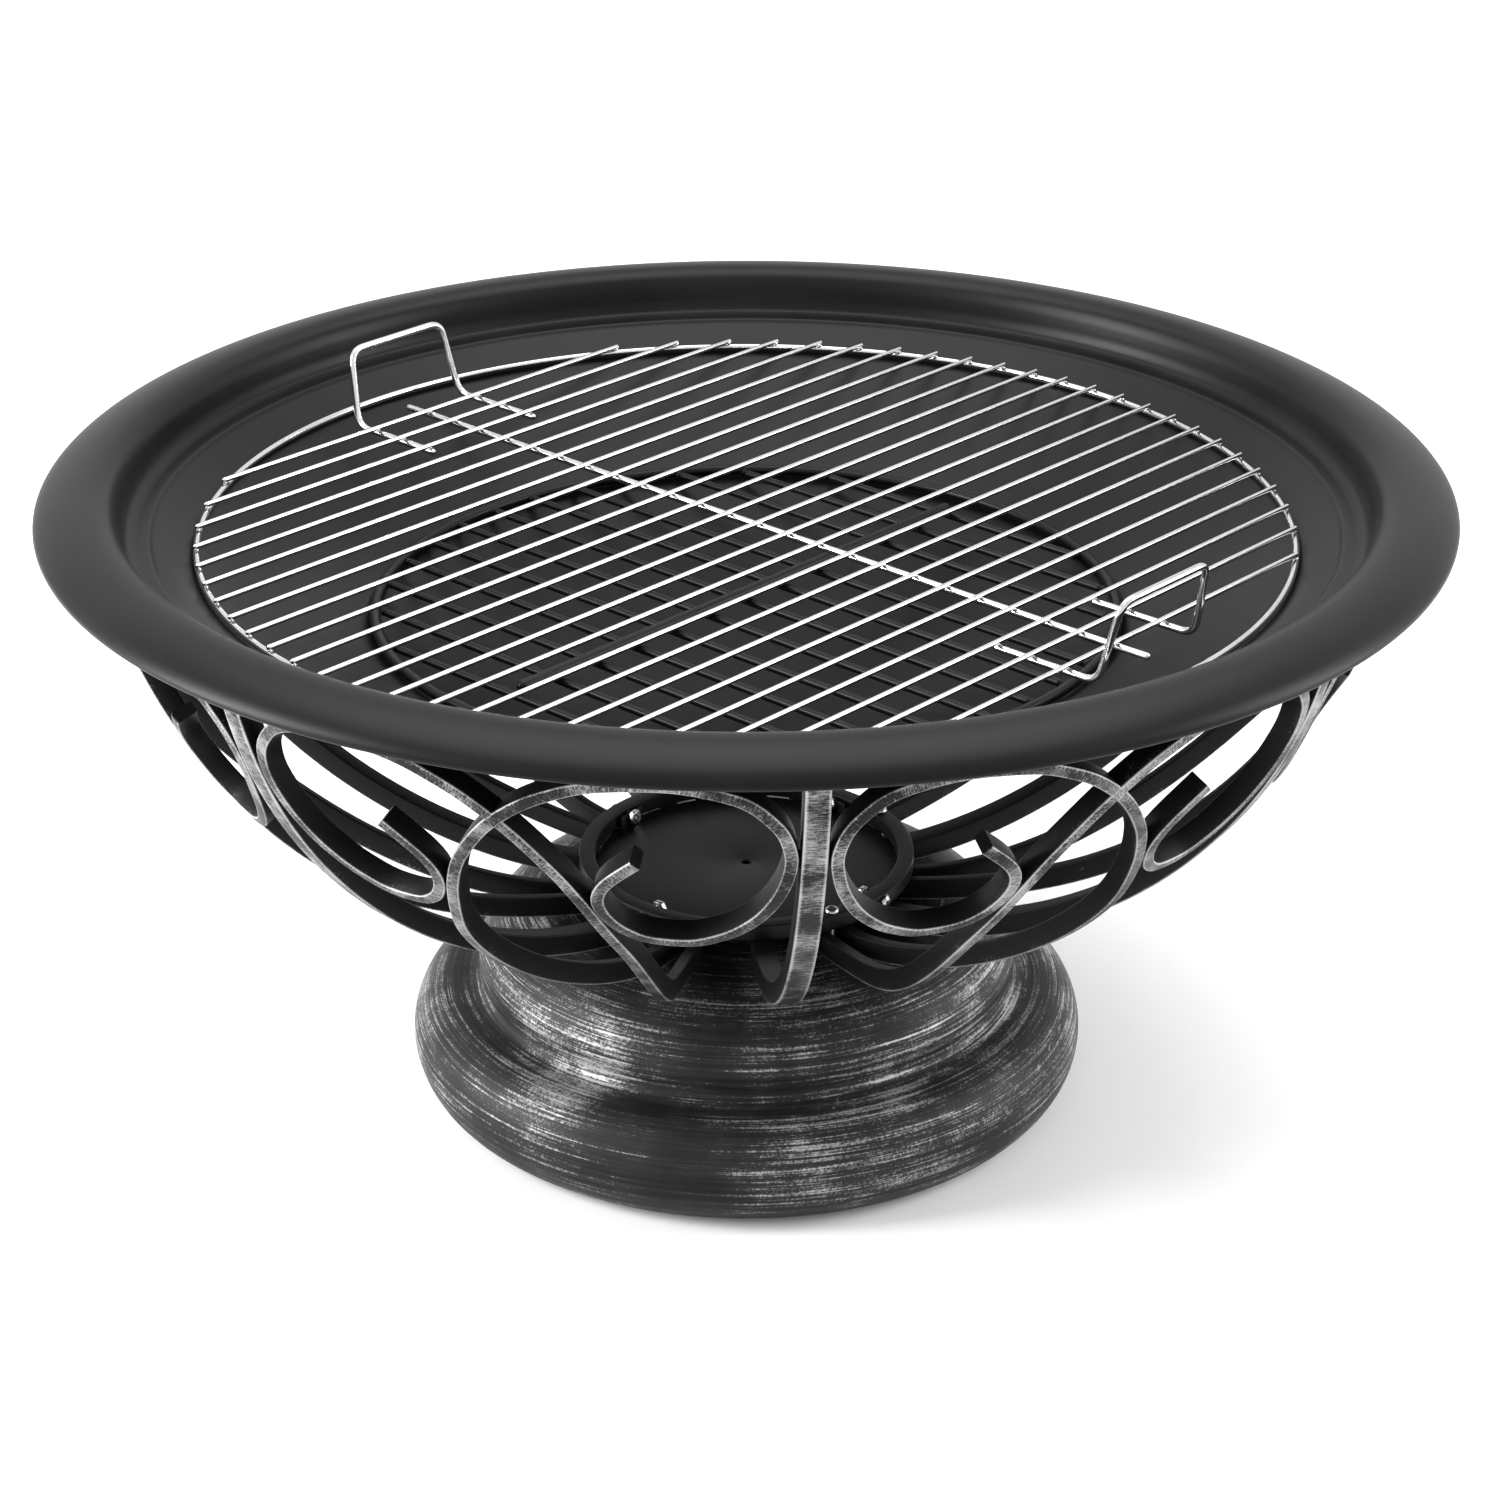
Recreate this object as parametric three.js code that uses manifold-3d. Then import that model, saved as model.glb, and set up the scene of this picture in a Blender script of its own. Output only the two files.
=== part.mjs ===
// Fire pit with grate: a steel fire bowl resting in a scrolled bar basket on a
// spun pedestal, with a charcoal grate and a lift-out cooking grate in the bowl.
// Millimetres, +Z up. The origin is the centre of the pedestal's floor face.
// Front is -Y: rib_1 stands there, and azimuths run from it towards +X.

import * as THREE from 'three';
import { mergeVertices } from 'three/addons/utils/BufferGeometryUtils.js';
import Module from 'manifold-3d';

const wasm = await Module();
wasm.setup();

// ---------- Driving dimensions ----------

const GAP = 0.3;                   // running gap between pieces that touch
const TURNS = 48;                  // facets round the large revolved pieces
const FOOT_TURNS = 36;             // facets round the pedestal and its ring

// Fire bowl
const RIM_R = 380;                 // outer edge of the lip
const RIM_Z = 358;                 // height of the lip's outer edge
const SHEET = 2;                   // bowl sheet thickness
const LEDGE_R = 321;               // inner edge of the seat step
const LEDGE_DROP = 12.5;           // seat step below the lip's edge
const SLOPE_TOP_DROP = 14.5;       // start of the sloping wall below the lip's edge
const SLOPE = 0.5055;              // fall of the sloping wall per mm of radius
const SLOPE_END_R = 200;           // where the slope runs into the rounded floor

// Basket bars
const RIB_COUNT = 7;
const RIB_WIDTH = 12.5;
const BAR_DEPTH = 12;              // every bar stands on edge, this deep
const CROZIER_WIDTH = 6.5;
const FOOT_R = 86.5;               // inner end of every bar
const FOOT_Z = 114.8;              // underside of the bars at the foot
const RIB_TOP_R = 349.7;
const RIB_TOP_Z = 351.6;

// Hoop, ring and pedestal
const HOOP = { inner: 342, outer: 354, height: 11, top: 365 };
const RING = { inner: 86, outer: 95, height: 9 };
const PLATE = { radius: 85.3, thickness: 2.5, hole: 3 };
const BASE_WALL = 3;
const ROLL = { r: 165.6, z: 30, halfWidth: 26.5, halfHeight: 30 };

// Fasteners
const BOLT = { radius: 2.5, headRadius: 3.9, headHeight: 2.6, first: 48 };
const NUT = { acrossFlats: 8, height: 3.2 };
const SCREW = { radius: 2, headRadius: 4, headHeight: 2.6, azimuths: [25.7, 115.7, 193, 295.7] };
const TAB = { face: 84.6, thickness: 2, width: 20, height: 9.5 };
const FASTENER_COUNT = 4;
const FASTENER_SIDES = 8;

// Grates
const GRATE_TURN = 42;             // direction of the cooking rods, degrees from +X
const COOK = { ring: 296, ringWire: 2, rodWire: 1.5, rods: 24, pitch: 21.9, overhang: 3, bar: 272 };
const HANDLE = { wire: 2, tail: 205, foot: 270, lean: 9, half: 40, topHalf: 35, top: 378, bend: 9 };
const COAL = { ring: 203, ringWire: 3, rodWire: 2.2, rods: 13, pitch: 29, barWire: 3.5, bar: 174 };

// Derived heights
const RING_BOTTOM = FOOT_Z + BAR_DEPTH + 1.3;
const RING_TOP = RING_BOTTOM + RING.height;
const FLANGE_TOP = FOOT_Z - 0.4;
const BOLT_Z = RING_BOTTOM + RING.height / 2;

// ---------- Materials ----------

const material = (color, roughness, metalness) =>
  new THREE.MeshStandardMaterial({ color, roughness, metalness });

const FINISH = {
  bowl: () => material(0x1c1c1d, 0.45, 0.35),
  bar: () => material(0x55565a, 0.5, 0.7),
  blackBar: () => material(0x1a1a1b, 0.5, 0.4),
  base: () => material(0x2c2d2f, 0.45, 0.6),
  plate: () => material(0x18181a, 0.5, 0.3),
  chrome: () => material(0xd9dadc, 0.15, 1.0),
  grateBlack: () => material(0x141415, 0.55, 0.3),
  zinc: () => material(0xb9bbbf, 0.3, 1.0),
};

// ---------- Solids ----------

function toSolid(geometry) {
  const plain = geometry.clone();
  plain.deleteAttribute('normal');
  plain.deleteAttribute('uv');
  const merged = mergeVertices(plain, 1e-3);
  return new wasm.Manifold(new wasm.Mesh({
    numProp: 3,
    vertProperties: new Float32Array(merged.attributes.position.array),
    triVerts: new Uint32Array(merged.index.array),
  }));
}

function toGeometry(solid) {
  const mesh = solid.getMesh();
  const geometry = new THREE.BufferGeometry();
  geometry.setAttribute('position', new THREE.BufferAttribute(mesh.vertProperties, 3));
  geometry.setIndex(new THREE.BufferAttribute(mesh.triVerts, 1));
  geometry.computeVertexNormals();
  return geometry;
}

const joined = (geometries) =>
  toGeometry(geometries.map(toSolid).reduce((whole, next) => whole.add(next)));

const cut = (geometry, cutters) =>
  toGeometry(cutters.map(toSolid).reduce((whole, next) => whole.subtract(next), toSolid(geometry)));

// Revolves an outline of [radius, height] points about +Z.
function revolve(outline, turns = TURNS) {
  const points = outline.map(([r, z]) => new THREE.Vector2(r, z));
  return new THREE.LatheGeometry(points, turns).rotateX(Math.PI / 2);
}

const hoop = ({ inner, outer, height }, top, turns = TURNS) => revolve([
  [inner, top - height], [outer, top - height], [outer, top], [inner, top], [inner, top - height],
], turns);

// A closed sheet outline: the given face, then the same face set back by a thickness.
// A point on the axis stays on it.
function sheetOutline(face, thickness) {
  const back = face.map(([r, z], i) => {
    const [r0, z0] = face[Math.max(i - 1, 0)];
    const [r1, z1] = face[Math.min(i + 1, face.length - 1)];
    const length = Math.hypot(r1 - r0, z1 - z0);
    return [r === 0 ? 0 : r + (thickness * (z1 - z0)) / length, z - (thickness * (r1 - r0)) / length];
  });
  return [...face, ...back.reverse()];
}

function rod(length, radius, sides = 6) {
  return new THREE.CylinderGeometry(radius, radius, length, sides).rotateZ(Math.PI / 2);
}

function wireRing(radius, wire, turns, sides = 6) {
  return new THREE.TorusGeometry(radius, wire, sides, turns);
}

const arc = (cr, cz, rr, rz, from, to, steps) =>
  Array.from({ length: steps + 1 }, (_, i) => {
    const angle = THREE.MathUtils.degToRad(from + ((to - from) * i) / steps);
    return [cr + rr * Math.cos(angle), cz + rz * Math.sin(angle)];
  });

// ---------- The basket's form ----------

// The outer face of every bar lies on one bowl-shaped surface of revolution.
// Its outline, foot to top, is a single Bezier curve in (radius, height).
const form = new THREE.CubicBezierCurve(
  new THREE.Vector2(FOOT_R, FOOT_Z),
  new THREE.Vector2(208.2, 121.1),
  new THREE.Vector2(327.6, 218.8),
  new THREE.Vector2(RIB_TOP_R, RIB_TOP_Z),
);
const FORM_LENGTH = form.getLength();

// A bar bent over the form. The flat path is drawn in (azimuth in degrees,
// distance up the form from its foot), and the section stands on edge,
// square to the form, all the way along.
class BentBarPath extends THREE.Curve {
  constructor(flatPath) {
    super();
    this.flatPath = flatPath;
    this.arcLengthDivisions = 400;
  }

  onForm(t) {
    const flat = this.flatPath.getPoint(t);
    const u = THREE.MathUtils.clamp(flat.y / FORM_LENGTH, 0, 1);
    return { azimuth: THREE.MathUtils.degToRad(flat.x), at: form.getPointAt(u), along: form.getTangentAt(u) };
  }

  getPoint(t) {
    const { azimuth, at } = this.onForm(t);
    return new THREE.Vector3(at.x * Math.sin(azimuth), -at.x * Math.cos(azimuth), at.y);
  }

  outward(t) {
    const { azimuth, along } = this.onForm(t);
    return new THREE.Vector3(along.y * Math.sin(azimuth), -along.y * Math.cos(azimuth), -along.x);
  }

  computeFrenetFrames(segments) {
    const tangents = [];
    const normals = [];
    const binormals = [];
    for (let i = 0; i <= segments; i += 1) {
      const t = this.getUtoTmapping(i / segments);
      const tangent = this.getTangent(t);
      const outward = this.outward(t);
      outward.addScaledVector(tangent, -outward.dot(tangent)).normalize();
      tangents.push(tangent);
      normals.push(outward);
      binormals.push(new THREE.Vector3().crossVectors(tangent, outward));
    }
    return { tangents, normals, binormals };
  }
}

// Sweeps a rectangle along a bent path: 'low' to 'high' is depth, outwards positive.
function bentBar(path, width, steps, low = -BAR_DEPTH, high = 0) {
  const section = new THREE.Shape([
    new THREE.Vector2(low, -width / 2),
    new THREE.Vector2(high, -width / 2),
    new THREE.Vector2(high, width / 2),
    new THREE.Vector2(low, width / 2),
  ]);
  return new THREE.ExtrudeGeometry(section, { steps, extrudePath: path, bevelEnabled: false });
}

const flatPoint = ([azimuth, distance]) => new THREE.Vector3(azimuth, distance, 0);

const RIB_STEPS = 10;

function rib() {
  const flat = new THREE.LineCurve3(flatPoint([0, 0]), flatPoint([0, FORM_LENGTH]));
  return bentBar(new BentBarPath(flat), RIB_WIDTH, RIB_STEPS);
}

// One crozier, about its bay's middle plane: foot under the ring, out along the
// bottom, up across the middle, over in an arch below the hoop, down beside the
// rib, round, and back to a hooked tail that meets the opposite crozier.
const CROZIER_FLAT = [
  [-4.2, 0], [-4.6, 34], [-6.6, 80], [-8.4, 122], [-9.4, 165], [-9.5, 200], [-8.9, 232], [-7.4, 262],
  [-5.9, 288], [-4, 311], [0, 341], [4.5, 360], [9, 369.5], [14.3, 372], [19, 366.5], [22.4, 351],
  [23.8, 331], [23.6, 313], [22.6, 295], [20.8, 278], [18, 264], [14.8, 257], [11.8, 258],
  [9.6, 264.5], [8.3, 273.5], [7.6, 284], [7.6, 293], [8.3, 302.5], [9.6, 311.5], [11.3, 321],
];
const CROZIER_STEPS = 40;
const HALVING_DEPTH = BAR_DEPTH / 2;

const crozierPath = (hand) =>
  new BentBarPath(new THREE.CatmullRomCurve3(
    CROZIER_FLAT.map(([azimuth, distance]) => flatPoint([hand * azimuth, distance])), false, 'centripetal'));

// Where the pair cross they are halved into each other: the left-handed one
// loses its outer half there and the right-handed one its inner half.
function crozier(hand) {
  const bar = bentBar(crozierPath(hand), CROZIER_WIDTH, CROZIER_STEPS);
  const [low, high] = hand > 0 ? [-BAR_DEPTH - 1, -HALVING_DEPTH + GAP / 2] : [-HALVING_DEPTH - GAP / 2, 1];
  const mate = bentBar(crozierPath(-hand), CROZIER_WIDTH + 2 * GAP, CROZIER_STEPS, low, high);
  return cut(bar, [mate]);
}

// ---------- Ring, plate and fasteners ----------

const fastenerAngles = (first) =>
  Array.from({ length: FASTENER_COUNT }, (_, i) => first + (i * 360) / FASTENER_COUNT);

const turn = (degrees) => THREE.MathUtils.degToRad(degrees);

// Stands a Z-axis tool along the radius at an azimuth, starting at radius 'from'.
const radial = (geometry, azimuth, from, z) =>
  geometry.rotateX(Math.PI / 2).translate(0, -from, z).rotateZ(turn(azimuth));

const drill = (radius, length) =>
  new THREE.CylinderGeometry(radius, radius, length, FASTENER_SIDES).rotateX(Math.PI / 2);

const boltHoles = () => fastenerAngles(BOLT.first).map((azimuth) =>
  radial(drill(BOLT.radius + GAP, 30), azimuth, RING.inner, BOLT_Z));

const SCREW_R = (RING.inner + RING.outer) / 2;

const screwHoles = () => SCREW.azimuths.map((azimuth) =>
  drill(SCREW.radius + GAP, 60).translate(0, -SCREW_R, RING_BOTTOM).rotateZ(turn(azimuth)));

const bottomRing = () => cut(hoop(RING, RING_TOP, FOOT_TURNS), [...boltHoles(), ...screwHoles()]);

function basePlate() {
  const outline = new THREE.Shape().absarc(0, 0, PLATE.radius, 0, 2 * Math.PI);
  outline.holes.push(new THREE.Path().absarc(0, 0, PLATE.hole, 0, 2 * Math.PI, true));
  const disc = new THREE.ExtrudeGeometry(outline, {
    depth: PLATE.thickness, bevelEnabled: false, curveSegments: FOOT_TURNS / 2,
  }).translate(0, 0, RING_BOTTOM - PLATE.thickness);
  const tabs = fastenerAngles(BOLT.first).map((azimuth) =>
    new THREE.BoxGeometry(TAB.width, TAB.thickness, TAB.height)
      .translate(0, -TAB.face + TAB.thickness / 2, RING_BOTTOM - PLATE.thickness + TAB.height / 2)
      .rotateZ(turn(azimuth)));
  return cut(joined([disc, ...tabs]), boltHoles());
}

// A button head on +Z over a shank down -Z, with the head's seat at z = 0.
const buttonScrew = ({ radius, headRadius, headHeight }, length) => revolve([
  [0, -length], [radius, -length], [radius, 0], [headRadius, 0],
  [headRadius, headHeight * 0.45], [headRadius * 0.7, headHeight], [0, headHeight],
], FASTENER_SIDES);

function ringBolt(azimuth) {
  const grip = RING.outer + 2 * GAP - TAB.face + TAB.thickness + NUT.height + 2;
  return radial(buttonScrew(BOLT, grip), azimuth, RING.outer + GAP, BOLT_Z);
}

function ringNut(azimuth) {
  const hex = new THREE.CylinderGeometry(NUT.acrossFlats / Math.sqrt(3), NUT.acrossFlats / Math.sqrt(3), NUT.height, 6)
    .rotateY(Math.PI / 6).rotateX(Math.PI / 2);
  const nut = cut(hex, [drill(BOLT.radius + GAP, 2 * NUT.height)]);
  return radial(nut, azimuth, TAB.face - TAB.thickness - GAP - NUT.height / 2, BOLT_Z);
}

const ringScrew = (azimuth) =>
  buttonScrew(SCREW, RING_TOP - FLANGE_TOP + 8)
    .translate(0, -SCREW_R, RING_TOP + GAP).rotateZ(turn(azimuth));

// ---------- Pedestal ----------

function pedestal() {
  const face = [
    [60, FLANGE_TOP], [106, FLANGE_TOP],
    [123, 110.5], [139, 101.5], [150, 89.5], [154, 76.5], [152.6, 67], [155, 61.8],
    ...arc(ROLL.r, ROLL.z, ROLL.halfWidth, ROLL.halfHeight, 94, -90, 7),
    [150, 0],
  ];
  const shell = revolve([...sheetOutline(face, BASE_WALL), face[0]].reverse(), FOOT_TURNS);
  return cut(shell, screwHoles());
}

// ---------- Fire bowl ----------

const slopeZ = (r) => RIM_Z - SLOPE_TOP_DROP - (LEDGE_R - 2 - r) * SLOPE;

function fireBowl() {
  const lip = [
    [380, 0], [377, 5], [367, 10.6], [354, 13.3], [344, 12], [338, 6.5],
    [335.4, -4], [332.4, -10.5], [328, -LEDGE_DROP], [LEDGE_R, -LEDGE_DROP], [LEDGE_R - 2, -SLOPE_TOP_DROP],
  ].map(([r, drop]) => [r, RIM_Z + drop]);
  const floorZ = RIM_Z - 103;
  const floor = [[SLOPE_END_R, slopeZ(SLOPE_END_R)], [150, floorZ + 12], [90, floorZ + 2.5], [0, floorZ]];
  const face = [...lip, ...floor].reverse();
  return revolve(sheetOutline(face, SHEET).reverse());
}

// ---------- Grates ----------

// Height of a wire ring's centre when it rests on the bowl's slope.
const restingZ = (radius, wire) => slopeZ(radius) + (wire + 0.8) * Math.hypot(1, SLOPE);

const COOK_RING_Z = restingZ(COOK.ring, COOK.ringWire);
const COOK_ROD_Z = COOK_RING_Z + COOK.ringWire + COOK.rodWire + GAP;
const COAL_RING_Z = restingZ(COAL.ring, COAL.ringWire);

const rodOffsets = ({ rods, pitch }) =>
  Array.from({ length: rods }, (_, i) => (i - (rods - 1) / 2) * pitch);

// Rods lie along local X; the crossbar lies along local Y.
function cookingRods() {
  const rods = rodOffsets(COOK).map((offset) => {
    const half = Math.sqrt(COOK.ring ** 2 - offset ** 2) + COOK.overhang;
    return rod(2 * half, COOK.rodWire).translate(0, offset, COOK_ROD_Z);
  });
  const crossbar = rod(2 * COOK.bar, COOK.ringWire).rotateZ(Math.PI / 2)
    .translate(0, 0, COOK_ROD_Z - COOK.rodWire - COOK.ringWire + 0.6);
  return joined([crossbar, ...rods]);
}

// A handle bent from one wire; 'side' is +1 or -1 along the crossbar.
function cookingHandle(side) {
  const tailZ = COOK_ROD_Z - COOK.rodWire - HANDLE.wire - GAP;
  const corners = [
    [-HANDLE.half, HANDLE.tail, tailZ],
    [-HANDLE.half, HANDLE.foot, tailZ],
    [-HANDLE.topHalf, HANDLE.foot + HANDLE.lean, HANDLE.top],
    [HANDLE.topHalf, HANDLE.foot + HANDLE.lean, HANDLE.top],
    [HANDLE.half, HANDLE.foot, tailZ],
    [HANDLE.half, HANDLE.tail, tailZ],
  ].map(([x, y, z]) => new THREE.Vector3(x, side * y, z));
  const path = new THREE.CurvePath();
  let start = corners[0];
  for (let i = 1; i < corners.length - 1; i += 1) {
    const before = corners[i].clone().lerp(corners[i - 1], HANDLE.bend / corners[i].distanceTo(corners[i - 1]));
    const after = corners[i].clone().lerp(corners[i + 1], HANDLE.bend / corners[i].distanceTo(corners[i + 1]));
    path.add(new THREE.LineCurve3(start, before));
    path.add(new THREE.QuadraticBezierCurve3(before, corners[i], after));
    start = after;
  }
  path.add(new THREE.LineCurve3(start, corners.at(-1)));
  const section = new THREE.Shape().absarc(0, 0, HANDLE.wire, 0, 2 * Math.PI);
  return new THREE.ExtrudeGeometry(section, {
    steps: 24, extrudePath: path, bevelEnabled: false, curveSegments: 3,
  });
}

// Charcoal rods butt against the inside of their ring; the crossbar lies on top of them.
function charcoalRods() {
  const reach = COAL.ring - COAL.ringWire - 1;
  const rods = rodOffsets(COAL).map((offset) =>
    rod(2 * Math.sqrt(reach ** 2 - (Math.abs(offset) + COAL.rodWire) ** 2), COAL.rodWire)
      .translate(0, offset, COAL_RING_Z));
  const crossbar = rod(2 * COAL.bar, COAL.barWire, 8).rotateZ(Math.PI / 2)
    .translate(0, 0, COAL_RING_Z + COAL.rodWire + COAL.barWire - 0.6);
  return joined([crossbar, ...rods]);
}

// ---------- Assembly ----------

function named(name, geometry, finish) {
  const mesh = new THREE.Mesh(geometry, finish);
  mesh.name = name;
  return mesh;
}

function basket() {
  const group = new THREE.Group();
  const bay = 360 / RIB_COUNT;
  for (let i = 0; i < RIB_COUNT; i += 1) {
    const bar = named(`rib_${i + 1}`, rib(), FINISH.bar());
    bar.rotation.z = turn(i * bay);
    group.add(bar);
    for (const [hand, side] of [[1, 'right'], [-1, 'left']]) {
      const scroll = named(`crozier_${i + 1}_${side}`, crozier(hand), FINISH.bar());
      scroll.rotation.z = turn((i + 0.5) * bay);
      group.add(scroll);
    }
  }
  group.add(named('top_hoop', hoop(HOOP, HOOP.top), FINISH.blackBar()));
  group.add(named('bottom_ring', bottomRing(), FINISH.blackBar()));
  return group;
}

function foot() {
  const group = new THREE.Group();
  group.add(named('pedestal', pedestal(), FINISH.base()));
  group.add(named('base_plate', basePlate(), FINISH.plate()));
  fastenerAngles(BOLT.first).forEach((azimuth, i) => {
    group.add(named(`ring_bolt_${i + 1}`, ringBolt(azimuth), FINISH.zinc()));
    group.add(named(`ring_nut_${i + 1}`, ringNut(azimuth), FINISH.zinc()));
  });
  SCREW.azimuths.forEach((azimuth, i) => {
    group.add(named(`ring_screw_${i + 1}`, ringScrew(azimuth), FINISH.zinc()));
  });
  return group;
}

function cookingGrate() {
  const group = new THREE.Group();
  const ring = named('cooking_ring', wireRing(COOK.ring, COOK.ringWire, TURNS), FINISH.chrome());
  ring.position.z = COOK_RING_Z;
  group.add(ring);
  group.add(named('cooking_rods', cookingRods(), FINISH.chrome()));
  group.add(named('handle_left', cookingHandle(1), FINISH.chrome()));
  group.add(named('handle_right', cookingHandle(-1), FINISH.chrome()));
  group.rotation.z = turn(GRATE_TURN);
  return group;
}

function charcoalGrate() {
  const group = new THREE.Group();
  const ring = named('charcoal_ring', wireRing(COAL.ring, COAL.ringWire, TURNS), FINISH.grateBlack());
  ring.position.z = COAL_RING_Z;
  group.add(ring);
  group.add(named('charcoal_rods', charcoalRods(), FINISH.grateBlack()));
  group.rotation.z = turn(GRATE_TURN + 90);
  return group;
}

const firePit = new THREE.Group();
firePit.add(foot(), basket(), named('fire_bowl', fireBowl(), FINISH.bowl()), cookingGrate(), charcoalGrate());

export default firePit;
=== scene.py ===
"""The visible fire pit: bowl, scrolled basket, pedestal and both grates.

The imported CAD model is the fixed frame. Every piece here stands for one CAD
node, has its sizes in metres in the same frame, and rides on that node's body.
"""

import logging
import math
from dataclasses import dataclass, field
from enum import Enum
from typing import Any, Iterable, Sequence

import bmesh
import bpy
from mathutils import Matrix, Vector, noise


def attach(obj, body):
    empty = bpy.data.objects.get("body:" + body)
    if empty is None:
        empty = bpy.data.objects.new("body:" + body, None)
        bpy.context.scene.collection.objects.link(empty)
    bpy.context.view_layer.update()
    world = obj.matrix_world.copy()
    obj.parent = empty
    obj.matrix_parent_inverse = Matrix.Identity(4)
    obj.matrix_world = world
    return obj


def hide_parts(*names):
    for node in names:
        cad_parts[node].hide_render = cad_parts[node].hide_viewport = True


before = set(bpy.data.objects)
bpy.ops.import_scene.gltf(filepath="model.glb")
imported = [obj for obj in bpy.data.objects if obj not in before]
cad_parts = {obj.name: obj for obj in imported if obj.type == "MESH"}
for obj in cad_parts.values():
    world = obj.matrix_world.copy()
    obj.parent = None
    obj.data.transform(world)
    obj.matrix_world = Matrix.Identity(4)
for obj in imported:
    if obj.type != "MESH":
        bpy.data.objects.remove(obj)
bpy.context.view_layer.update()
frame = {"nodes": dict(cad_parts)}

LOG = logging.getLogger("fire_pit")
MM = 0.001
FULL_TURN = 2 * math.pi
CREASE = math.radians(38.0)
TIP = ((1.0, 0.12), (0.86, 0.5), (0.5, 0.86), (0.14, 0.99))

Point = tuple[float, float]
Triple = tuple[float, float, float]
BMesh = bmesh.types.BMesh


class Body(Enum):
    """The rigid bodies that pieces ride on."""

    STAND = "stand"
    BOWL = "bowl"
    COOKING = "cooking_grate"
    CHARCOAL = "charcoal_grate"


# Shader maths


class Term:
    """One number in a material's node tree, used in Python expressions."""

    def __init__(self, finish: "Finish", socket: bpy.types.NodeSocket) -> None:
        """Wraps an output socket of a finish's node tree."""
        self.finish = finish
        self.socket = socket

    def _math(self, operation: str, *values: Any) -> "Term":
        """Adds a Math node over the given values and wraps its result.

        Args:
            operation: the node's operation.
            *values: Terms or numbers, in the node's order.

        Returns:
            The node's result.
        """
        inputs = {index: value for index, value in enumerate(values)}
        made = self.finish.node("ShaderNodeMath", {"operation": operation}, inputs)
        return Term(self.finish, made.outputs[0])

    def __add__(self, other: Any) -> "Term":
        """Returns self + other."""
        return self._math("ADD", self, other)

    def __sub__(self, other: Any) -> "Term":
        """Returns self - other."""
        return self._math("SUBTRACT", self, other)

    def __rsub__(self, other: Any) -> "Term":
        """Returns other - self."""
        return self._math("SUBTRACT", other, self)

    def __mul__(self, other: Any) -> "Term":
        """Returns self * other."""
        return self._math("MULTIPLY", self, other)

    def __truediv__(self, other: Any) -> "Term":
        """Returns self / other."""
        return self._math("DIVIDE", self, other)

    __radd__ = __add__
    __rmul__ = __mul__

    def maximum(self, other: Any) -> "Term":
        """Returns the larger of self and other."""
        return self._math("MAXIMUM", self, other)

    def absolute(self) -> "Term":
        """Returns self without its sign."""
        return self._math("ABSOLUTE", self)

    def root(self) -> "Term":
        """Returns the square root of self."""
        return self._math("SQRT", self)

    def step(self, low: float, high: float) -> "Term":
        """Rises smoothly from 0 at low to 1 at high; falls if high is below low.

        Args:
            low: where it is 0.
            high: where it is 1.

        Returns:
            A Term of 0 to 1.
        """
        lowest, highest = min(low, high), max(low, high)
        made = self.finish.node(
            "ShaderNodeMapRange",
            {"interpolation_type": "SMOOTHSTEP"},
            {"Value": self, "From Min": lowest, "From Max": highest},
        )
        rising = Term(self.finish, made.outputs[0])
        return rising if high > low else 1 - rising


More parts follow.
